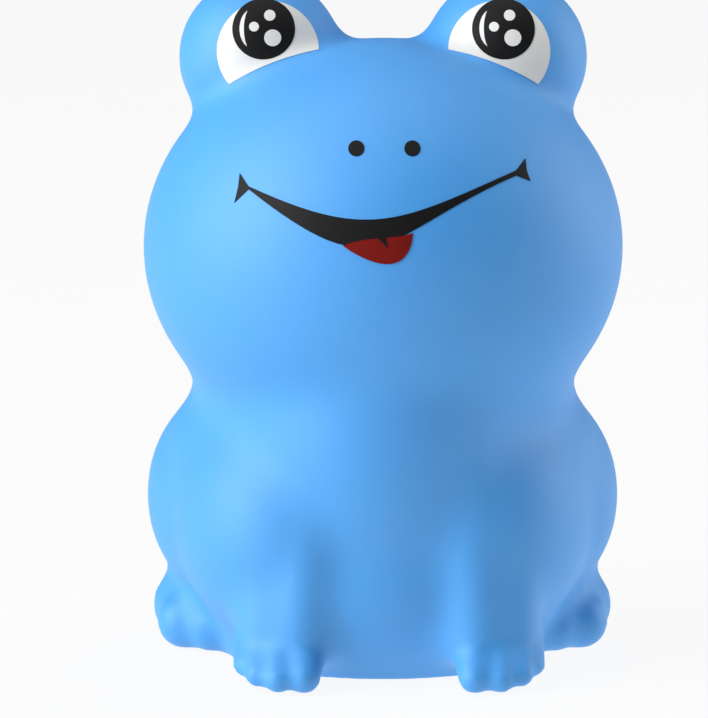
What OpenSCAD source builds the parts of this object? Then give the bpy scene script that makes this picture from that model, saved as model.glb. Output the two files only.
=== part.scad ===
// Frog squishy: a soft hollow skin over a slow-rise foam core, closed by a plug in
// its sole, with a printed face. Millimetres, +Z up, the face looks along -Y, and the
// origin is the middle of the sole on the table.
// The skin is one moulding. It is drawn as two zones, head and body, that meet face to
// face at the neck crease, so that the head can travel when the figure is squeezed.

/* [Head] */
// Width of the head, cheek to cheek
head_w = 68.2; // [66:0.2:70]
// Depth of the head, face to back
head_d = 61.6; // [59:0.2:64]
// Height of the head
head_h = 59; // [57:0.2:60]
// Height of the head's middle above the table
head_z = 59.5; // [58:0.5:60.5]
// Radius of each eye bulge
eye_r = 11.6; // [10.8:0.1:12]
// Distance between the middles of the eye bulges
eye_spread = 34.8; // [33:0.2:36]
// Height of the eye bulges' middles
eye_z = 85.8; // [85:0.2:86.4]
// How far the eye bulges' middles lie behind the figure's axis
eye_back = 4.2; // [3:0.2:5.4]

/* [Body] */
// Width of the trunk between the thighs
trunk_w = 60.6; // [58:0.2:62]
// Depth of the trunk, chest to back
trunk_d = 51.4; // [49:0.2:53]
// Width over both thighs
thigh_span = 67.6; // [65:0.2:70]
// Distance between the middles of the front paws
paw_spread = 31; // [30:0.2:32]
// Width over both hind feet
foot_span = 67; // [65:0.2:68]
// Distance between the middles of neighbouring toe tips
toe_pitch = 2.7; // [2.5:0.1:2.9]
// Radius of a front toe's tip
toe_r = 1.45; // [1.2:0.05:1.6]
// Height of the neck crease
neck_z = 39; // [38:0.5:40]

/* [Construction] */
// Wall thickness of the soft skin
skin_wall = 2.5; // [2:0.1:3]
// Thickness of the sole around the filling hole
sole_wall = 3; // [2.5:0.1:4]
// Room between the skin and the foam core
core_gap = 0.8; // [0.7:0.05:1.2]
// Radius over which the head, trunk, legs and thighs melt together
soft_melt = 1.9; // [1.6:0.1:2.2]
// Radius over which the eye bulges melt into the brow
firm_melt = 1.2; // [1:0.1:1.4]
// Diameter of the filling hole in the sole
fill_hole_d = 16; // [12:0.5:18]
// Diameter of the breather hole through the plug
breather_d = 2; // [1.5:0.1:3]
// Thickness of one layer of printed ink
ink = 0.15; // [0.1:0.01:0.18]

/* [Face print] */
// Angle above the horizon from which the face is printed
print_tilt = 10; // [8:1:12]
// Radius of the white of an eye
white_r = 7.1; // [6.7:0.1:7.3]
// Radius of a pupil
pupil_r = 4.35; // [4:0.05:4.5]
// Radius of a nostril
nostril_r = 1.1; // [0.9:0.05:1.3]
// Distance between the nostrils
nostril_spread = 7.6; // [7:0.1:8.4]

/* [Hidden] */

skin_blue = [0.36, 0.66, 0.93];
foam_cream = [0.95, 0.92, 0.82];
ink_white = [0.93, 0.93, 0.91];
ink_black = [0.10, 0.10, 0.11];
ink_red = [0.75, 0.10, 0.07];

// The rounded masses of one half of the figure, mirrored across x = 0. An ellipsoid is
// [middle, radii] and a limb is [from, to, radius at from, radius at to].
paw_x = paw_spread / 2;
head = [[0, -1.5, head_z], [head_w, head_d, head_h] / 2];
chest = [[0, -5.1, neck_z - 1.8], [20.9, 24.3, 31.8]];
torso = [[0, -0.7, 27.7], [trunk_w, trunk_d, 37.8] / 2];
seat = [[0, 1, 13], [trunk_w / 2 - 5, trunk_d / 2 - 6.2, 27.9]];
belly = [[0, -3.4, 11.7], [14.1, 18.6, 16.9]];
inner_leg = [[paw_x - 2.8, -13.8, 24], [paw_x - 2.6, -20, 6.2], 7, 4.1];
outer_leg = [[paw_x + 5.2, -8.8, 24.1], [paw_x + 2.6, -17, 6.3], 8.1, 4.3];
thigh_r = [11.8, 15.6, 16.1];
thigh = [[thigh_span / 2 - thigh_r.x, 9.5, 21.4], thigh_r];
trunk_masses = [head, chest, torso, seat, belly, inner_leg, outer_leg, thigh];
eye = [[eye_spread / 2, eye_back, eye_z], [eye_r, eye_r, eye_r]];

// A foot is a row of toes from the inner one to the outer one. A toe is
// [root, tip, radius at root, radius at tip], with x from the foot's own middle.
toe_root_pitch = 2.15;
toe_root_r = 3.2;
paw_root_y = [-21.6, -22, -21.6, -20.2];
paw_tip_y = [-25.2, -26, -25.7, -24.3];
paw_toes = [for (k = [0:3])
    let (place = k - 1.5)
    [[place * toe_root_pitch, paw_root_y[k], toe_root_r], [place * toe_pitch, paw_tip_y[k], toe_r],
        toe_root_r, toe_r]];
heel = [0, 9, 5];
heel_r = 5.5;
hind_toe_r = 4.2;
hind_toes = [for (tip = [[-2.6, -0.6], [-0.2, 0.8]])
    [heel, [tip.x, tip.y, hind_toe_r], heel_r, hind_toe_r]];
foot_x = foot_span / 2 - heel_r;
ball_sides = 12;

// Rays start this far out, and close in on the surface in this many steps
far = 70;
steps = 26;

// Points round the body, head and core, and rings up each of them
body_around = 64;
body_rings = 18;
head_around = 72;
head_rings = 26;
core_around = 36;
core_rings = 11;
// The inside of the head takes every second ring and the core's points, so that the two nest
inner_step = 2;
// Points crowd towards the front by this many degrees. The head's rings crowd by a share of
// their spacing round the eyes, which are this share of the way from the neck to the crown.
front_crowding = 18;
eye_crowding = 0.6;
eye_share = 0.72;

// The plug is turned: a stem in the filling hole, a groove that grips the sole, and a flange
// on the inside with a shallow dish
plug_clear = 0.12;
plug_r = fill_hole_d / 2 - plug_clear;
plug_chamfer = 0.5;
flange_r = 11;
flange_h = 1.5;
flange_z = sole_wall + plug_clear;
dish_r = 6;
dish_h = 0.6;
breather_y = 4;

// Ink layers lie on the skin one over another: the lowest clears its facets by ink_seat,
// and each next one clears the one below by ink_gap
ink_seat = 0.14;
ink_gap = 0.08;

// The face print, in millimetres across and up as it is seen along the print direction
face_up = [0, sin(print_tilt), cos(print_tilt)];
face_out = [0, -cos(print_tilt), sin(print_tilt)];
white_c = [16.2, 85.4];
pupil_c = [16.8, 88.45];
nostril_v = 70.95;
// The lid that crops the white below is part of a large circle
lid_c = [0.2, 43.9];
lid_r = 42.6;
// Dots of light on a pupil: offset from its middle and radius
glint_dots = [[[1.26, -1.32], 1.17], [[-1.32, 0.24], 0.68], [[0.84, 1.86], 0.78]];
// The crescent of light along a pupil's edge: radius, width, and the angles it spans
crescent_r = 3.37;
crescent_w = 0.73;
crescent_span = [132, 228];
// The smile runs between two curves, and its ends flare into two points each
upper_lip = [[-18.56, 65.89], [-2.27, 58.11], [1.98, 60.66], [18.1, 68.1]];
lower_lip = [[-18.56, 65.47], [-0.32, 50.79], [-0.53, 59.07], [18.09, 67.37]];
left_flare = [[-20.53, 63.65], [-20.02, 65.79], [-19.8, 67.75]];
right_flare = [[20.08, 66.65], [19.55, 68.07], [19.4, 69.85]];
// The tongue hangs out under the smile, with a short crease down from the lip
tongue_root = [[3.88, 59.31], [0.93, 58.36], [-2.68, 58.93], [-5.62, 57.61]];
tongue_tip = [[-5.62, 57.61], [-3.63, 56.08], [3.22, 52.09], [3.88, 59.31]];
tongue_c = [-0.21, 56.93];
crease = [[-0.3, 58.6], [0.45, 57.35]];
crease_w = 0.9;

// Distance from a point to one mass, under zero inside it
function ellipsoid_gap(p, c, r) =
    let (q = p - c,
        k0 = norm([q.x / r.x, q.y / r.y, q.z / r.z]),
        k1 = norm([q.x / r.x ^ 2, q.y / r.y ^ 2, q.z / r.z ^ 2]))
    k1 == 0 ? -min(r) : k0 * (k0 - 1) / k1;
function limb_gap(p, a, b, ra, rb) =
    let (ab = b - a, t = max(0, min(1, (p - a) * ab / (ab * ab))))
    norm(p - a - t * ab) - ra - (rb - ra) * t;
function mass_gap(p, m) =
    len(m) == 2 ? ellipsoid_gap(p, m[0], m[1]) : limb_gap(p, m[0], m[1], m[2], m[3]);

// Many distances melted into one, with fillets of about the given radius
function sum(list) = list * [for (i = list) 1];
function melted(gaps, radius) = -radius * ln(sum([for (g = gaps) exp(-g / radius)]));

// Distance from a point to the surface of the whole figure
function gap(p) =
    let (q = [abs(p.x), p.y, p.z],
        trunk = melted([for (m = trunk_masses) mass_gap(q, m)], soft_melt))
    melted([trunk, mass_gap(q, eye)], firm_melt);

// The point where a ray from start meets the surface, found by closing in from outside.
// inset moves the surface inwards, and a negative one lifts it off the skin.
function reach(start, dir, inset, r = far, n = steps) =
    n == 0 ? start + r * dir
    : reach(start, dir, inset, r - 0.95 * (gap(start + r * dir) + inset), n - 1);

// Directions round the figure, crowded towards the front
function bearing(i, n) = let (t = 360 * i / n) t - front_crowding * cos(t);
function flat_ring(r, z, n) =
    [for (i = [0:n - 1]) [r * cos(bearing(i, n)), r * sin(bearing(i, n)), z]];
function body_ring(z, inset, n) =
    [for (i = [0:n - 1]) let (a = bearing(i, n)) reach([0, 0, z], [cos(a), sin(a), 0], inset)];
function body_rings_of(n, count, low, inset) =
    [for (k = [0:count]) body_ring(low + (neck_z - low) * k / count, inset, n)];

// Rings over the head, from the neck crease towards the crown, each a share of the way up
function crowded(s) =
    let (half_turn = 180 * (1 - 2 * eye_share))
    s + eye_crowding / (2 * PI) * (sin(360 * s + half_turn) - sin(half_turn));
function head_ring(neck, share, inset) =
    [for (p = neck)
        let (low = atan2(neck_z - head_z, norm([p.x, p.y])),
            e = low + (90 - low) * crowded(share),
            side = [p.x, p.y, 0] / norm([p.x, p.y]))
        share == 0 ? p : reach([0, 0, head_z], cos(e) * side + [0, 0, sin(e)], inset)];
function head_rings_of(n, count, every, inset) =
    let (neck = body_ring(neck_z, inset, n))
    [for (k = [0:every:count - 1]) head_ring(neck, k / count, inset)];
function crown(inset) = reach([0, 0, head_z], [0, 0, 1], inset);
function reversed(list) = [for (i = [len(list) - 1:-1:0]) list[i]];

// The faces between two rings of n points, or of n points and twice as many, whose points
// start at a and b. lean sets which way each four-sided patch is split. The figure's right
// half is split the other way, so that the halves are mirror images.
function patches(n, a, b, lean) =
    [for (i = [0:n - 1])
        let (j = (i + 1) % n, right = i >= n / 4 && i < 3 * n / 4)
        each lean != right ? [[a + i, b + i, b + j], [a + i, b + j, a + j]]
            : [[a + i, b + i, a + j], [a + j, b + i, b + j]]];
function widening(n, a, b) =
    [for (i = [0:n - 1])
        let (j = (i + 1) % n, c = b + 2 * i)
        each [[a + i, c, c + 1], [a + i, c + 1, a + j], [a + j, c + 1, b + 2 * j]]];
function points_before(rings, k) = k == 0 ? 0 : len(rings[k - 1]) + points_before(rings, k - 1);

// A closed solid through rings of points, each ring anticlockwise seen from the last end.
// The ends run to a point each.
module ring_loft(rings, first, last, lean = false) {
    top = len(rings) - 1;
    starts = [for (k = [0:top + 1]) points_before(rings, k)];
    sides = [for (k = [0:top - 1])
        let (n = len(rings[k]))
        each len(rings[k + 1]) == n ? patches(n, starts[k], starts[k + 1], lean)
            : widening(n, starts[k], starts[k + 1])];
    tip = starts[top + 1];
    low_end = [for (i = [0:len(rings[0]) - 1]) [tip, i, (i + 1) % len(rings[0])]];
    high_end = [for (i = [0:len(rings[top]) - 1])
        [tip + 1, starts[top] + (i + 1) % len(rings[top]), starts[top] + i]];
    polyhedron([for (r = concat(rings, [[first, last]])) each r], concat(sides, low_end, high_end));
}

// A point of the face print on the skin, lifted off it, and one layer's lower and upper lift
function on_face(uv, lift) = reach([uv.x, 0, 0] + uv.y * face_up, face_out, -lift);
function layer_low(layer) = ink_seat + layer * (ink + ink_gap);
function layer_high(layer) = layer_low(layer) + ink;

function bezier(p, t) =
    p[0] * (1 - t) ^ 3 + 3 * p[1] * t * (1 - t) ^ 2 + 3 * p[2] * t ^ 2 * (1 - t) + p[3] * t ^ 3;
function circle_at(c, r, n) = [for (i = [0:n - 1]) c + r * [cos(360 * i / n), sin(360 * i / n)]];
function mean(list) = [for (p = list) 1] * list / len(list);

// A spot of ink: an outline, anticlockwise, filled by copies shrunk towards its middle
module spot(outline, c, layer, fills = 2) {
    low = layer_low(layer);
    high = layer_high(layer);
    function shrunk(k, lift) = [for (p = outline) on_face(c + (p - c) * k / fills, lift)];
    ring_loft(
        concat([for (k = [1:fills]) shrunk(k, low)], [for (k = [fills:-1:1]) shrunk(k, high)]),
        first = on_face(c, low), last = on_face(c, high));
}

// A stroke of ink: columns along its run, each from its right edge to its left one
module stroke(columns, layer) {
    rings = [for (c = columns)
        concat([for (p = c) on_face(p, layer_low(layer))],
            [for (p = reversed(c)) on_face(p, layer_high(layer))])];
    ring_loft(rings, first = mean(rings[0]), last = mean(rings[len(rings) - 1]));
}

module head_skin() {
    color(skin_blue)
    ring_loft(
        concat(
            reversed(head_rings_of(core_around, head_rings, inner_step, skin_wall)),
            head_rings_of(head_around, head_rings, 1, 0)),
        first = crown(skin_wall), last = crown(0));
}

module ball(c, r) {
    translate(c) sphere(r, $fn = ball_sides);
}

// One foot with its middle at x, on the figure's left side
module foot(x, toes) {
    translate([x, 0, 0])
    for (toe = toes)
        hull() {
            ball(toe[0], toe[2]);
            ball(toe[1], toe[3]);
        }
}

module cavity() {
    rings = body_rings_of(core_around, core_rings, sole_wall, skin_wall);
    above = [for (p = rings[core_rings]) p + [0, 0, 1]];
    ring_loft(concat(rings, [above]), first = [0, 0, sole_wall], last = [0, 0, neck_z + 1],
        lean = true);
}

module body_skin() {
    color(skin_blue)
    difference() {
        union() {
            ring_loft(body_rings_of(body_around, body_rings, 0, 0),
                first = [0, 0, 0], last = [0, 0, neck_z]);
            for (m = [0, 1])
                mirror([m, 0, 0]) {
                    foot(paw_x, paw_toes);
                    foot(foot_x, hind_toes);
                }
        }
        cavity();
        translate([0, 0, -1])
        cylinder(h = sole_wall + 2, d = fill_hole_d, $fn = 64);
        translate([-far, -far, -far])
        cube([2 * far, 2 * far, far]);
    }
}

module foam_core() {
    inset = skin_wall + core_gap;
    low = sole_wall + core_gap;
    recess_z = flange_z + flange_h + core_gap;
    recess_r = flange_r + core_gap;
    trunk = body_rings_of(core_around, core_rings, low, inset);
    color(foam_cream)
    ring_loft(
        concat(
            [flat_ring(recess_r, recess_z, core_around), flat_ring(recess_r, low, core_around)],
            [for (k = [0:core_rings - 1]) trunk[k]],
            head_rings_of(core_around, head_rings, inner_step, inset)),
        first = [0, 0, recess_z], last = crown(inset), lean = true);
}

module base_plug() {
    top = flange_z + flange_h;
    c = plug_chamfer;
    color(skin_blue)
    difference() {
        rotate_extrude($fn = 64)
        polygon([[0, 0], [plug_r - c, 0], [plug_r, c], [plug_r, flange_z], [flange_r - c / 2, flange_z],
            [flange_r, flange_z + c / 2], [flange_r, top - c], [flange_r - c, top],
            [dish_r + dish_h, top], [dish_r, top - dish_h], [0, top - dish_h]]);
        translate([0, breather_y, -1])
        cylinder(h = top + 2, d = breather_d, $fn = 32);
    }
}

// Distance from the middle of an eye white to its edge, where the lid crops it
function white_edge(a, side) =
    let (w = [side * (white_c.x - lid_c.x), white_c.y - lid_c.y],
        b = w * [cos(a), sin(a)],
        d = b ^ 2 - w * w + lid_r ^ 2)
    d > 0 && b < 0 ? min(white_r, -b - sqrt(d)) : white_r;

module eye_white(side) {
    c = [side * white_c.x, white_c.y];
    n = 32;
    color(ink_white)
    spot([for (i = [0:n - 1])
        let (a = 360 * i / n) c + white_edge(a, side) * [cos(a), sin(a)]], c, 0, fills = 3);
}

module pupil(side) {
    c = [side * pupil_c.x, pupil_c.y];
    color(ink_black)
    spot(circle_at(c, pupil_r, 28), c, 1);
}

// Both eyes catch the light on the same side, so the glints aren't mirrored
module eye_glints(side) {
    c = [side * pupil_c.x, pupil_c.y];
    n = 8;
    color(ink_white) {
        for (g = glint_dots)
            spot(circle_at(c + g[0], g[1], 14), c + g[0], 2, fills = 1);
        stroke([for (i = [0:n])
            let (a = crescent_span[0] + (crescent_span[1] - crescent_span[0]) * i / n,
                half = crescent_w / 2 * (0.2 + 0.8 * sin(180 * i / n)),
                e = [cos(a), sin(a)])
            [c + (crescent_r + half) * e, c + (crescent_r - half) * e]], 2);
    }
}

module nostrils() {
    color(ink_black)
    for (side = [-1, 1])
        let (c = [side * nostril_spread / 2, nostril_v])
        spot(circle_at(c, nostril_r, 16), c, 0, fills = 1);
}

module mouth() {
    n = 22;
    color(ink_black)
    stroke(concat(
        [left_flare],
        [for (i = [0:n])
            let (low = bezier(lower_lip, i / n), high = bezier(upper_lip, i / n))
            [low, (low + high) / 2, high]],
        [right_flare]), 0);
}

module tongue() {
    n = 10;
    color(ink_red)
    spot(concat(
        [for (i = [0:n - 1]) bezier(tongue_root, i / n)],
        [for (i = [0:n - 1]) bezier(tongue_tip, i / n)]), tongue_c, 1);
}

module tongue_crease() {
    across = [crease_w / 2, 0];
    n = 3;
    color(ink_black)
    stroke([for (i = [0:n])
        let (p = crease[0] + (crease[1] - crease[0]) * i / n, half = across * (1 - 0.7 * i / n))
        [p - half, p + half]], 2);
}

head_skin();
body_skin();
foam_core();
base_plug();
eye_white(1);  // left_eye_white
eye_white(-1);  // right_eye_white
pupil(1);  // left_pupil
pupil(-1);  // right_pupil
eye_glints(1);  // left_eye_glints
eye_glints(-1);  // right_eye_glints
nostrils();
mouth();
tongue();
tongue_crease();
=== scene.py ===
# %% [markdown]
# # A frog squishy, from clay balls to a printed face
# A squishy is a palm-size squeeze toy. It is a soft hollow moulding, filled with foam that rises
# slowly after a squeeze, closed by a plug in its sole, with its face printed on in a few inks.
# The CAD model gives the sizes, the bodies and the motion. This file makes the looks around it.

# %% Load the CAD frame
import math

import bmesh
import bpy
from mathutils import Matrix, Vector


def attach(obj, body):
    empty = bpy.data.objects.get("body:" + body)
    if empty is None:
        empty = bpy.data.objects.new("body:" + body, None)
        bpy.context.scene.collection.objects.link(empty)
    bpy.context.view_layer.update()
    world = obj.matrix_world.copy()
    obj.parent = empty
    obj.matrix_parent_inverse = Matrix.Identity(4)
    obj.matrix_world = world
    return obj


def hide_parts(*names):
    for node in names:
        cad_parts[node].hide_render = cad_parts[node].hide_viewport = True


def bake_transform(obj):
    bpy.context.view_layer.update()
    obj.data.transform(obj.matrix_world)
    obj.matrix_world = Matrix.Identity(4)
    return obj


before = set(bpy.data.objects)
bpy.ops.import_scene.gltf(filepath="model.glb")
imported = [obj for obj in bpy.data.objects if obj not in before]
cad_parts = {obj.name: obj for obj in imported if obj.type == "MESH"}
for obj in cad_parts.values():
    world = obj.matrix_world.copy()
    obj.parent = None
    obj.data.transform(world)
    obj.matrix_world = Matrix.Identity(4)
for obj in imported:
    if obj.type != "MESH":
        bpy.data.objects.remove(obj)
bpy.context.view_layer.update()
MM = 0.001

# %% [markdown]
# ## The clay
# The moulding was sculpted before it was cast: round masses for the head, eyes, chest, belly,
# legs and thighs, worked into one another. It could be subdivided from a box, but the soft joins
# would need many loops. Here each mass is a ball at its size and place, as a sculptor lays
# clay, and a limb is a ball whose far half is pulled out to the limb's other end.

# %% Helpers that lay a ball or a limb
def only(*objs):
    """Makes these the only selected objects, and the first one active."""
    bpy.ops.object.select_all(action="DESELECT")
    for o in objs:
        o.select_set(True)
    bpy.context.view_layer.objects.active = objs[0]


def ball(centre, radii):
    """A ball of clay: middle and radii in mm."""
    bpy.ops.object.select_all(action="DESELECT")
    bpy.ops.mesh.primitive_uv_sphere_add(
        segments=64, ring_count=32, radius=MM, location=Vector(centre) * MM, scale=radii)
    bpy.ops.object.transform_apply(location=True, rotation=True, scale=True)
    return bpy.context.object


def limb(start, end, start_r, end_r):
    """A ball at start, with the half that faces end pulled out to it and sized to end_r."""
    clay = ball(start, (start_r, start_r, start_r))
    run = Vector(end) - Vector(start)
    bpy.ops.object.mode_set(mode="EDIT")
    bpy.ops.mesh.select_mode(type="VERT")
    bpy.ops.mesh.select_all(action="DESELECT")
    shape = bmesh.from_edit_mesh(clay.data)
    for v in shape.verts:
        v.select = (v.co / MM - Vector(start)).dot(run) > 0
    shape.select_flush(True)
    bmesh.update_edit_mesh(clay.data)
    bpy.ops.transform.translate(value=run * MM)
    share = end_r / start_r
    bpy.ops.transform.resize(value=(share, share, share), center_override=Vector(end) * MM)
    bpy.ops.object.mode_set(mode="OBJECT")
    return clay


# %% Helpers that lay the same clay on the frog's left and right
def ball_pair(centre, radii):
    x, y, z = centre
    return ball((x, y, z), radii), ball((-x, y, z), radii)


def limb_pair(start, end, start_r, end_r):
    across = [(-x, y, z) for x, y, z in (start, end)]
    return limb(start, end, start_r, end_r), limb(*across, start_r, end_r)


# %% [markdown]
# ## Working the clay together
# Overlapping balls meet in sharp creases, and a mould has none. A voxel remesh makes one closed
# skin of them. To round the inner corners only, the skin is swollen along its normals, remeshed,
# and shrunk back by as much: outer shapes return to their size, and each crease keeps a fillet
# of that radius. A Smooth modifier then takes out the last unevenness.

# %% Helpers that join, fillet and smooth
def finish_with(piece, kind, **settings):
    """Adds a modifier to the piece and applies it."""
    only(piece)
    mod = piece.modifiers.new(kind.title(), kind)
    for key, value in settings.items():
        setattr(mod, key, value)
    bpy.ops.object.modifier_apply(modifier=mod.name)


def joined(name, *clays):
    only(*clays)
    bpy.ops.object.join()
    whole = bpy.context.object
    whole.name = whole.data.name = name
    return whole


def remesh(piece, voxel):
    finish_with(piece, "REMESH", mode="VOXEL", voxel_size=voxel * MM)


def swell(piece, amount):
    finish_with(piece, "DISPLACE", strength=amount * MM, mid_level=0.0, direction="NORMAL")


def smooth(piece, times):
    finish_with(piece, "SMOOTH", factor=0.5, iterations=times)


def fillet(piece, radius, voxel):
    remesh(piece, voxel)
    swell(piece, radius)
    remesh(piece, voxel)
    swell(piece, -radius)
    remesh(piece, voxel)


# %% [markdown]
# ## From wide joins to firm folds
# The toy's folds are not alike: the head flows into the chest, the legs press into the belly with
# a closer fold, and the eyes and hind feet stand out with a firm one. One fillet for all would
# drown the small forms. So the clay goes on in three rounds, each with a smaller fillet than the
# one before, and the joins of the earlier rounds stay soft.

# %% The trunk: head, chest, belly, seat, shoulders and sides, with wide soft joins
HEAD = ((0, -1.5, 59.5), (34.2, 31.0, 29.6))
CHEST = ((0, -4.5, 38.5), (22.5, 23.5, 33.5))
BELLY = ((0, -0.5, 27), (29.6, 22.5, 20))
SEAT = ((0, 1, 14), (26.0, 20, 28.5))
LAP = ((0, -4.8, 14), (24.0, 19.5, 17.2))
SHOULDER = ((19.6, 5.5, 29), (12.0, 18, 10))
FLANK = ((12.5, -1, 21.5), (17.8, 23, 20.2))

trunk = joined(
    "skin", ball(*HEAD), ball(*CHEST), ball(*BELLY), ball(*SEAT), ball(*LAP),
    *ball_pair(*SHOULDER), *ball_pair(*FLANK))
fillet(trunk, radius=4.5, voxel=1.0)
smooth(trunk, times=6)
print("trunk:", len(trunk.data.vertices), "points")

# %% The haunches and the front legs, with closer folds
LEAN = 0.8  # the legs and paws stand this far to the frog's own left, as in the photo
HAUNCH = ((21.8, 8.0, 21.8), (12.4, 17.8, 15.6))
SHIN = ((10.8, -19.5, 32), (12.4, -20.6, 6), 4.2, 4.4)
CALF = ((15.5, -15.5, 25), (16.2, -18.0, 6.5), 6.0, 5.2)


def leaned(point, side):
    """A leg's point on one side of the frog, moved by the lean."""
    x, y, z = point
    return LEAN + side * x, y, z


legs = []
for side in (1, -1):
    (x, y, z), radii = HAUNCH
    legs.append(ball((side * x, y, z), radii))
    for start, end, start_r, end_r in (SHIN, CALF):
        legs.append(limb(leaned(start, side), leaned(end, side), start_r, end_r))
propped = joined("skin", trunk, *legs)
fillet(propped, radius=2.8, voxel=0.9)
smooth(propped, times=5)
print("with haunches and legs:", len(propped.data.vertices), "points")

# %% The eye bulges and the hind feet, with firm folds
EYE = ((17.4, 4.2, 85.8), (11.7, 11.7, 11.7))
HIND_FOOT = ((28.0, 9, 5.0), (26.6, 2.4, 4.3), 5.6, 4.4)

skin = joined("skin", propped, *ball_pair(*EYE), *limb_pair(*HIND_FOOT))
fillet(skin, radius=1.6, voxel=0.8)
smooth(skin, times=2)
print("with eyes and hind feet:", len(skin.data.vertices), "points")

# %% [markdown]
# ## Toes
# Each front leg ends in a soft paw with four small toes, the inner one the largest and the outer
# ones set back. Each hind foot has two. A toe is a limb from the instep to its tip, so the
# grooves between toes are deepest at the front and fade on the way up, as in a simple mould.

# %% The toes of one paw and one hind foot: start, end and the radius at each
PAW = [
    ((12.4, -19.8, 5.8), (11.9, -25.3, 2.4), 3.9, 2.4),
    ((15.4, -20.0, 5.4), (15.5, -25.6, 2.1), 3.6, 1.95),
    ((17.8, -18.8, 5.4), (18.4, -24.2, 2.4), 3.3, 1.75),
    ((19.0, -17.2, 5.8), (20.4, -21.8, 3.2), 3.0, 1.55),
]
HIND = [
    ((25.6, 5.0, 4.2), (24.6, 0.6, 4.0), 4.2, 4.0),
    ((28.2, 6.0, 4.2), (28.6, 2.6, 4.0), 4.2, 4.0),
]
print("toes on a paw and on a hind foot:", len(PAW), len(HIND))


# %% Model one foot of each pair and mirror it
def foot(toes):
    return joined("foot", *[limb(*toe) for toe in toes])


def mirrored(piece):
    """A copy across x = 0 with its own mesh, and its faces turned outwards again."""
    only(piece)
    bpy.ops.object.duplicate()
    twin = bpy.context.object
    twin.scale.x = -1
    bpy.ops.object.transform_apply(location=True, rotation=True, scale=True)
    bpy.ops.object.mode_set(mode="EDIT")
    bpy.ops.mesh.select_all(action="SELECT")
    bpy.ops.mesh.normals_make_consistent(inside=False)
    bpy.ops.object.mode_set(mode="OBJECT")
    return twin


def shifted(piece, along_x):
    """Moves a piece sideways, in mm."""
    only(piece)
    bpy.ops.transform.translate(value=(along_x * MM, 0, 0))
    bpy.ops.object.transform_apply(location=True, rotation=True, scale=True)
    return piece


feet = []
for toes, lean in ((PAW, LEAN), (HIND, 0)):
    one = foot(toes)
    feet += [shifted(twin, lean) for twin in (mirrored(one), one)]
cavity_clay = skin.copy()
cavity_clay.data = skin.data.copy()
bpy.context.collection.objects.link(cavity_clay)
skin = joined("skin", skin, *feet)
print("feet laid:", len(feet))

# %% [markdown]
# ## The flat sole
# The toy stands on its sole and paws. The clay is cut level with the table by a bisect that
# closes the cut, and the last remesh and smoothing round the cut edge, as the mould's edge is.

# %% Cut the sole and round everything off
FINE_VOXEL = 0.5
FACES_KEPT = 0.62


def cut_level(piece, height):
    """Cuts off what lies under height, in mm, and closes the cut."""
    only(piece)
    bpy.ops.object.mode_set(mode="EDIT")
    bpy.ops.mesh.select_all(action="SELECT")
    bpy.ops.mesh.bisect(
        plane_co=(0, 0, height * MM), plane_no=(0, 0, 1), use_fill=True, clear_inner=True)
    bpy.ops.object.mode_set(mode="OBJECT")


fillet(skin, radius=0.8, voxel=FINE_VOXEL)
cut_level(skin, 0)
remesh(skin, FINE_VOXEL)
smooth(skin, times=3)
finish_with(skin, "DECIMATE", ratio=FACES_KEPT)
print("outer skin:", len(skin.data.polygons), "faces")

# %% [markdown]
# ## Hollow inside
# The moulding is a wall of about 2.5 mm round the foam. The clay from before the toes, shrunk by
# the wall, is the hollow, cut level above the sole. Boolean modifiers take the hollow and the
# filling hole out of the skin.

# %% Shrink a copy to the hollow
WALL = 2.5
SOLE = 3.0
HOLLOW_VOXEL = 1.4

swell(cavity_clay, -WALL)
remesh(cavity_clay, HOLLOW_VOXEL)
smooth(cavity_clay, times=2)
cut_level(cavity_clay, SOLE)
cavity_clay.name = cavity_clay.data.name = "foam"
print("hollow:", len(cavity_clay.data.polygons), "faces")

# %% Cut the hollow and the filling hole out of the skin
HOLE_R = 8.0
OVERCUT = 2
CORNER = math.radians(50)  # edges sharper than this stay sharp when shaded


def cut_out(piece, tool, keep=False):
    finish_with(piece, "BOOLEAN", operation="DIFFERENCE", solver="EXACT", object=tool)
    if not keep:
        bpy.data.objects.remove(tool)


def drill(radius, low, high):
    """A round tool on the frog's axis from low to high, in mm."""
    bpy.ops.object.select_all(action="DESELECT")
    bpy.ops.mesh.primitive_cylinder_add(
        vertices=96, radius=radius * MM, depth=(high - low) * MM,
        location=(0, 0, (low + high) / 2 * MM))
    bpy.ops.object.transform_apply(location=True, rotation=True, scale=True)
    return bpy.context.object


def shade(piece):
    only(piece)
    bpy.ops.object.shade_smooth_by_angle(angle=CORNER)


cut_out(skin, cavity_clay, keep=True)
cut_out(skin, drill(HOLE_R, -OVERCUT, SOLE + OVERCUT))
shade(skin)
print("hollow skin:", len(skin.data.polygons), "faces")

# %% [markdown]
# ## The foam
# Slow-rise foam fills the hollow. It is the hollow's own shape, a hair smaller, with room for
# the plug's flange at the bottom.

# %% Shape the foam
FOAM_GAP = 0.35
FLANGE_ROOM_R, FLANGE_ROOM_TOP = 11.6, 5.2

foam = cavity_clay
swell(foam, -FOAM_GAP)
cut_out(foam, drill(FLANGE_ROOM_R, 0, FLANGE_ROOM_TOP))
shade(foam)
print("foam:", len(foam.data.polygons), "faces")

# %% [markdown]
# ## The printed face
# The face is printed with a pad that comes down on the front at 10 degrees from level. So each
# print starts as a flat outline on the pad, is cut into small cells that can follow a curve, and
# is projected onto the skin with a Shrinkwrap. Solidify gives it the thickness of a film. A print
# could be painted in a material instead, but then it would not be a piece of its own.

# %% How a flat outline becomes a print
TILT = math.radians(10)
FACE_OUT = Vector((0, -math.cos(TILT), math.sin(TILT)))
PAD_AWAY = 60
CELL = 0.6
FILM = 0.05
LIFT, LAYER_STEP = 0.03, 0.06  # the lowest film's height over the skin, and each next one's


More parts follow.
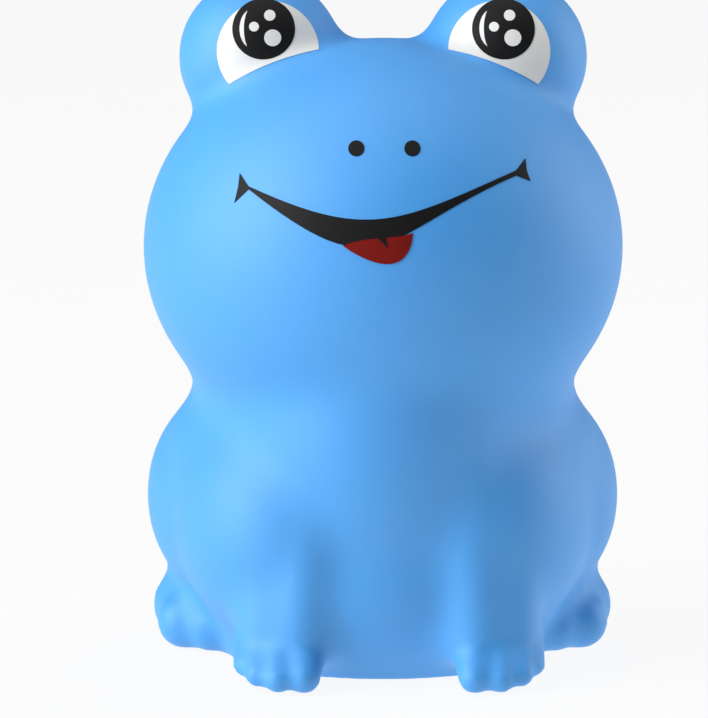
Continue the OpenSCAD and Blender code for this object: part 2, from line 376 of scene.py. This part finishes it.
def gridded(piece, cell):
    """Cuts a flat outline into cells along both of its own axes."""
    only(piece)
    bpy.ops.object.mode_set(mode="EDIT")
    for axis in (0, 1):
        values = [v.co[axis] for v in piece.data.vertices]
        count = int((max(values) - min(values)) / (cell * MM))
        for k in range(1, count + 1):
            at, normal = Vector((0, 0, 0)), Vector((0, 0, 0))
            at[axis] = min(values) + k * (max(values) - min(values)) / (count + 1)
            normal[axis] = 1
            bpy.ops.mesh.select_all(action="SELECT")
            bpy.ops.mesh.bisect(plane_co=at, plane_no=normal)
    bpy.ops.object.mode_set(mode="OBJECT")


def print_on(piece, name, layer, cell=CELL):
    """Projects a flat outline, in the pad's own axes, onto the skin as a film."""
    gridded(piece, cell)
    only(piece)
    piece.rotation_euler = (math.pi / 2 - TILT, 0, 0)
    piece.location = FACE_OUT * PAD_AWAY * MM
    finish_with(
        piece, "SHRINKWRAP", target=skin, wrap_method="PROJECT", use_project_z=True,
        use_negative_direction=True, use_positive_direction=False, wrap_mode="ABOVE_SURFACE",
        offset=(LIFT + LAYER_STEP * layer) * MM)
    bpy.ops.object.transform_apply(location=True, rotation=True, scale=True)
    finish_with(piece, "SOLIDIFY", thickness=FILM * MM, offset=1)
    shade(piece)
    piece.name = piece.data.name = name
    print(name, len(piece.data.polygons), "faces")
    return piece


# %% Outlines: a disc, and a closed curve through handles
CURVE_STEPS = 24


def disc(centre, radius, sides):
    bpy.ops.object.select_all(action="DESELECT")
    bpy.ops.mesh.primitive_circle_add(
        vertices=sides, radius=radius * MM, fill_type="NGON",
        location=(centre[0] * MM, centre[1] * MM, 0))
    bpy.ops.object.transform_apply(location=True, rotation=True, scale=True)
    return bpy.context.object


def outline(*edges):
    """A filled shape from Bezier pieces, each start, two handles and end, that close up."""
    bpy.ops.object.select_all(action="DESELECT")
    bpy.ops.curve.primitive_bezier_curve_add(location=(0, 0, 0))
    shape = bpy.context.object
    line = shape.data.splines[0]
    line.bezier_points.add(len(edges) - 2)
    line.use_cyclic_u = True
    line.resolution_u = CURVE_STEPS
    for k, edge in enumerate(edges):
        point = line.bezier_points[k]
        before = edges[k - 1]
        point.handle_left_type = point.handle_right_type = "FREE"
        point.co = Vector((*edge[0], 0)) * MM
        point.handle_right = Vector((*edge[1], 0)) * MM
        point.handle_left = Vector((*before[2], 0)) * MM
    shape.data.dimensions = "2D"
    shape.data.fill_mode = "BOTH"
    only(shape)
    bpy.ops.object.convert(target="MESH")
    return bpy.context.object


# %% [markdown]
# ## The eyes
# An eye is three prints, one over the other: the white, the pupil and the glints. The lower edge
# of the white is the lid, one long curve across both eyes. A disc with a large disc cut out of it
# gives that edge exactly. A Boolean needs solids, so both are slabs for the cut, and the slab is
# cut flat again after it.

# %% Eye whites
WHITE_C, WHITE_R = (16.2, 85.4), 7.13
LID_C, LID_R = (0.2, 43.9), 42.6
LID_SLAB, WHITE_SLAB = 2, 1
prints = {}


def slab(piece, thickness):
    """Gives a flat shape thickness, for a Boolean."""
    finish_with(piece, "SOLIDIFY", thickness=thickness * MM, offset=0)
    return piece


def eye_white(side):
    """A disc whose lower part is hidden by the lid's long curve."""
    white = disc((side * WHITE_C[0], WHITE_C[1]), WHITE_R, sides=128)
    lid = slab(disc((side * LID_C[0], LID_C[1]), LID_R, sides=512), LID_SLAB)
    white = slab(white, WHITE_SLAB)
    cut_out(white, lid)
    only(white)
    bpy.ops.object.mode_set(mode="EDIT")
    bpy.ops.mesh.select_all(action="SELECT")
    bpy.ops.mesh.bisect(plane_co=(0, 0, 0), plane_no=(0, 0, 1), use_fill=True,
                        clear_inner=True, clear_outer=True)
    bpy.ops.object.mode_set(mode="OBJECT")
    return white


for side, name in ((1, "left_eye_white"), (-1, "right_eye_white")):
    prints[name] = print_on(eye_white(side), name, layer=0)

# %% Pupils and their glints
PUPIL_C, PUPIL_R = (16.8, 88.45), 4.35
GLINT_DOTS = [((1.26, -1.32), 1.17), ((-1.32, 0.24), 0.68), ((0.84, 1.86), 0.78)]
CRESCENT_R, CRESCENT_W = 3.37, 0.73
TOP_TIP, TOP_BOW, LOW_BOW, LOW_TIP = 132, 158, 202, 228  # degrees round the pupil
OUTER_BOW, INNER_BOW = 1.06, 1.03


def crescent(centre):
    """A sliver of light along the pupil's left edge."""
    def at(radius, degrees):
        a = math.radians(degrees)
        return centre[0] + radius * math.cos(a), centre[1] + radius * math.sin(a)
    outer = (CRESCENT_R + CRESCENT_W / 2) * OUTER_BOW
    inner = (CRESCENT_R - CRESCENT_W / 2) * INNER_BOW
    top, low = at(CRESCENT_R, TOP_TIP), at(CRESCENT_R, LOW_TIP)
    return outline(
        (top, at(outer, TOP_BOW), at(outer, LOW_BOW), low),
        (low, at(inner, LOW_BOW), at(inner, TOP_BOW), top))


for side, name in ((1, "left"), (-1, "right")):
    c = (side * PUPIL_C[0], PUPIL_C[1])
    prints[name + "_pupil"] = print_on(disc(c, PUPIL_R, sides=96), name + "_pupil", layer=1)
    dots = [disc((c[0] + x, c[1] + y), r, sides=40) for (x, y), r in GLINT_DOTS]
    glints = joined("glints", *dots, crescent(c))
    prints[name + "_eye_glints"] = print_on(glints, name + "_eye_glints", layer=2, cell=0.4)

# %% [markdown]
# ## The smile
# The mouth is a brush stroke with a flare at each corner, a little lopsided, and the tongue hangs
# out of it. The stroke could be a curve with a changing bevel, but its two edges are not parallel.
# So each lip is a Bezier piece of its own, and short straight pieces draw the flares.

# %% Nostrils
NOSTRIL, NOSTRIL_R = (3.82, 70.95), 1.1

nostrils = joined("nostrils", *[
    disc((side * NOSTRIL[0], NOSTRIL[1]), NOSTRIL_R, sides=40) for side in (1, -1)])
prints["nostrils"] = print_on(nostrils, "nostrils", layer=0, cell=0.4)

# %% The mouth
LEFT_FLARE = ((-20.53, 63.65), (-20.02, 65.79), (-19.8, 67.75))
RIGHT_FLARE = ((20.08, 66.65), (19.55, 68.07), (19.4, 69.85))
UPPER_LIP = ((-18.56, 65.89), (-2.27, 58.11), (1.98, 60.66), (18.1, 68.1))
LOWER_LIP = ((18.09, 67.37), (-0.53, 59.07), (-0.32, 50.79), (-18.56, 65.47))


def straight(a, b):
    """A Bezier piece that is a straight line."""
    a, b = Vector(a), Vector(b)
    return tuple(a), tuple(a.lerp(b, 1 / 3)), tuple(a.lerp(b, 2 / 3)), tuple(b)


def straights(*points):
    return [straight(a, b) for a, b in zip(points, points[1:])]


mouth = outline(
    UPPER_LIP,
    *straights(UPPER_LIP[3], *reversed(RIGHT_FLARE), LOWER_LIP[0]),
    LOWER_LIP,
    *straights(LOWER_LIP[3], *LEFT_FLARE, UPPER_LIP[0]))
prints["mouth"] = print_on(mouth, "mouth", layer=0)

# %% The tongue and its crease
TONGUE_RIGHT, TONGUE_LEFT = (3.88, 59.31), (-5.62, 57.61)
CREASE = ((-0.85, 58.55), (0.36, 57.35), (0.52, 57.35), (0.1, 58.75))

tongue = outline(
    (TONGUE_RIGHT, (0.93, 58.36), (-2.68, 58.93), TONGUE_LEFT),
    (TONGUE_LEFT, (-3.63, 56.08), (3.22, 52.09), TONGUE_RIGHT))
prints["tongue"] = print_on(tongue, "tongue", layer=1, cell=0.45)
crease = outline(*straights(*CREASE, CREASE[0]))
prints["tongue_crease"] = print_on(crease, "tongue_crease", layer=2, cell=0.3)
print("prints:", len(prints))

# %% [markdown]
# ## Finishes
# The skin is a matte soft-touch elastomer. Up close it has a fine grain from the mould, and its
# blue varies a little where the colour settled. One node group makes the grain and the mottle,
# and every material takes it at its own size and depth.

# %% A node group for the mould's grain
def grain_group():
    group = bpy.data.node_groups.new("mould_grain", "ShaderNodeTree")
    for title, usual in (("Grain per metre", 3000), ("Mottle per metre", 60)):
        socket = group.interface.new_socket(
            title, in_out="INPUT", socket_type="NodeSocketFloat")
        socket.default_value = usual
    for title in ("Height", "Mottle"):
        group.interface.new_socket(title, in_out="OUTPUT", socket_type="NodeSocketFloat")
    nodes, links = group.nodes, group.links
    given, out = nodes.new("NodeGroupInput"), nodes.new("NodeGroupOutput")
    where = nodes.new("ShaderNodeTexCoord")
    fine, broad = nodes.new("ShaderNodeTexNoise"), nodes.new("ShaderNodeTexNoise")
    fine.inputs["Detail"].default_value = 3
    fine.inputs["Roughness"].default_value = 0.6
    broad.inputs["Detail"].default_value = 4
    for noise, scale in ((fine, "Grain per metre"), (broad, "Mottle per metre")):
        links.new(where.outputs["Object"], noise.inputs["Vector"])
        links.new(given.outputs[scale], noise.inputs["Scale"])
    links.new(fine.outputs["Fac"], out.inputs["Height"])
    links.new(broad.outputs["Fac"], out.inputs["Mottle"])
    return group


GRAIN = grain_group()
print("node group:", GRAIN.name)

# %% A material that uses it
GRAIN_DEEP = 0.1


def finish(name, dark, light, rough, grain, mottle, depth, **constants):
    """A material whose colour moves between two with the mottle, and roughness with the grain."""
    material = bpy.data.materials.new(name)
    material.use_nodes = True
    nodes, links = material.node_tree.nodes, material.node_tree.links
    shader = nodes["Principled BSDF"]
    group = nodes.new("ShaderNodeGroup")
    group.node_tree = GRAIN
    group.inputs["Grain per metre"].default_value = grain
    group.inputs["Mottle per metre"].default_value = mottle
    colour = nodes.new("ShaderNodeMix")
    colour.data_type = "RGBA"
    colour.inputs["A"].default_value = (*dark, 1)
    colour.inputs["B"].default_value = (*light, 1)
    links.new(group.outputs["Mottle"], colour.inputs["Factor"])
    links.new(colour.outputs["Result"], shader.inputs["Base Color"])
    gloss = nodes.new("ShaderNodeMapRange")
    gloss.inputs["To Min"].default_value, gloss.inputs["To Max"].default_value = rough
    links.new(group.outputs["Height"], gloss.inputs["Value"])
    links.new(gloss.outputs["Result"], shader.inputs["Roughness"])
    bump = nodes.new("ShaderNodeBump")
    bump.inputs["Strength"].default_value = depth
    bump.inputs["Distance"].default_value = GRAIN_DEEP * MM
    links.new(group.outputs["Height"], bump.inputs["Height"])
    links.new(bump.outputs["Normal"], shader.inputs["Normal"])
    for socket, value in constants.items():
        shader.inputs[socket.replace("_", " ")].default_value = value
    print("finish:", name)
    return material


# %% The skin, the plug and the foam
skin_blue = finish(
    "soft_blue_skin", dark=(0.030, 0.312, 0.79), light=(0.048, 0.346, 0.85), rough=(0.56, 0.66),
    grain=4200, mottle=70, depth=0.25,
    Sheen_Weight=0.08, Sheen_Roughness=0.5, Specular_IOR_Level=1.0)
plug_blue = finish(
    "plug_blue", dark=(0.035, 0.27, 0.68), light=(0.05, 0.30, 0.74), rough=(0.5, 0.62),
    grain=3000, mottle=120, depth=0.3)
foam_cream = finish(
    "foam_cream", dark=(0.80, 0.74, 0.55), light=(0.90, 0.86, 0.72), rough=(0.85, 0.95),
    grain=1600, mottle=200, depth=1.0)

# %% The inks
white_ink = finish(
    "white_ink", dark=(0.73, 0.74, 0.73), light=(0.79, 0.80, 0.79), rough=(0.42, 0.52),
    grain=4200, mottle=300, depth=0.15)
black_ink = finish(
    "black_ink", dark=(0.003, 0.003, 0.004), light=(0.006, 0.006, 0.007), rough=(0.5, 0.6),
    grain=4200, mottle=300, depth=0.15, Specular_IOR_Level=0.2)
red_ink = finish(
    "red_ink", dark=(0.14, 0.005, 0.003), light=(0.22, 0.008, 0.005), rough=(0.5, 0.6),
    grain=4200, mottle=300, depth=0.15, Specular_IOR_Level=0.12)

# %% [markdown]
# ## On the CAD frame
# The skin and the foam run from the standing base to the pressed head. The prints sit on the head
# and ride with it. The plug's CAD solid has the right shape already and only gets its finish.


def dress(piece, material):
    piece.data.materials.clear()
    piece.data.materials.append(material)


dress(skin, skin_blue)
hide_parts("head_skin", "body_skin")
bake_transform(skin)
dress(foam, foam_cream)
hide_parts("foam_core")
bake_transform(foam)
dress(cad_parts["base_plug"], plug_blue)
print("dressed:", skin.name, foam.name, "base_plug")


# %% Dress the prints and tie them to the head
def ink_of(name):
    """The ink of a print, and its material slot."""
    if "white" in name or "glints" in name:
        return white_ink, "ink_white"
    if name == "tongue":
        return red_ink, "ink_red"
    return black_ink, "ink_black"


for name, film in prints.items():
    ink, slot = ink_of(name)
    dress(film, ink)
    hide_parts(name)
    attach(film, "head")
    film.name = film.data.name = "print_" + name
    print(film.name, "in", ink.name)

# %% [markdown]
# ## Studio
# The photo is a plain product shot on white: a tall soft box at the left, a weaker light from
# behind at the right that edges the cheek, and no shadow on the ground. An evenly glowing light
# table gives such a ground: it is white everywhere and fills the figure's shadows from below.

# %% Floor
FLOOR_SIZE = 8

bpy.ops.object.select_all(action="DESELECT")
bpy.ops.mesh.primitive_plane_add(size=FLOOR_SIZE, location=(0, 0, 0))
floor = bpy.context.object
floor.name = "floor"
dress(floor, finish(
    "light_table", dark=(0.045, 0.045, 0.045), light=(0.055, 0.055, 0.055), rough=(0.85, 0.95),
    grain=400, mottle=20, depth=0.05,
    Emission_Color=(1, 1, 1, 1), Emission_Strength=0.91, Specular_IOR_Level=0.2))

# %% Lights
LIGHT_AIM = Vector((0, 0, 0.055))
ROOM_LIGHT = 0.08


def soft_light(name, place, size, power):
    """A soft box, its width and height in metres, that faces the toy."""
    bpy.ops.object.light_add(type="AREA", location=place)
    lamp = bpy.context.object
    lamp.name = name
    lamp.data.shape = "RECTANGLE"
    lamp.data.size, lamp.data.size_y = size
    lamp.data.energy = power
    lamp.rotation_euler = (LIGHT_AIM - Vector(place)).to_track_quat("-Z", "Y").to_euler()
    print("light:", name, power, "W")


soft_light("key_left", place=(-0.88, -0.37, 0.35), size=(0.8, 1.5), power=20.0)
soft_light("rim_right", place=(0.86, 0.26, 0.32), size=(0.6, 0.8), power=4.6)
soft_light("top", place=(0, 0, 1.2), size=(0.8, 0.8), power=4.5)
world = bpy.data.worlds.new("studio")
bpy.context.scene.world = world
world.use_nodes = True
room = world.node_tree.nodes["Background"]
room.inputs["Color"].default_value = (1, 1, 1, 1)
room.inputs["Strength"].default_value = ROOM_LIGHT
bpy.context.scene.view_settings.view_transform = "Standard"

# %% [markdown]
# ## Camera
# The photo was taken from the front and a little above, from well back, so that the sides run
# almost parallel. The lens is worked out from the distance and the photo's scale: 7 of its pixels
# show a millimetre at the toy's middle.

# %% Camera at the photo's angle
DISTANCE, ELEVATION = 0.7, math.radians(10)
PX_PER_MM, PHOTO_W = 7.0, 708
SENSOR = 36
AIM = Vector((-4.14, 0, 42.9)) * MM

bpy.ops.object.camera_add(
    location=AIM + DISTANCE * Vector((0, -math.cos(ELEVATION), math.sin(ELEVATION))),
    rotation=(math.pi / 2 - ELEVATION, 0, 0))
camera = bpy.context.object
camera.data.sensor_fit = "HORIZONTAL"
camera.data.sensor_width = SENSOR
camera.data.lens = SENSOR * DISTANCE / (PHOTO_W / PX_PER_MM * MM)
bpy.context.scene.camera = camera
print("camera lens in mm:", round(camera.data.lens, 1))
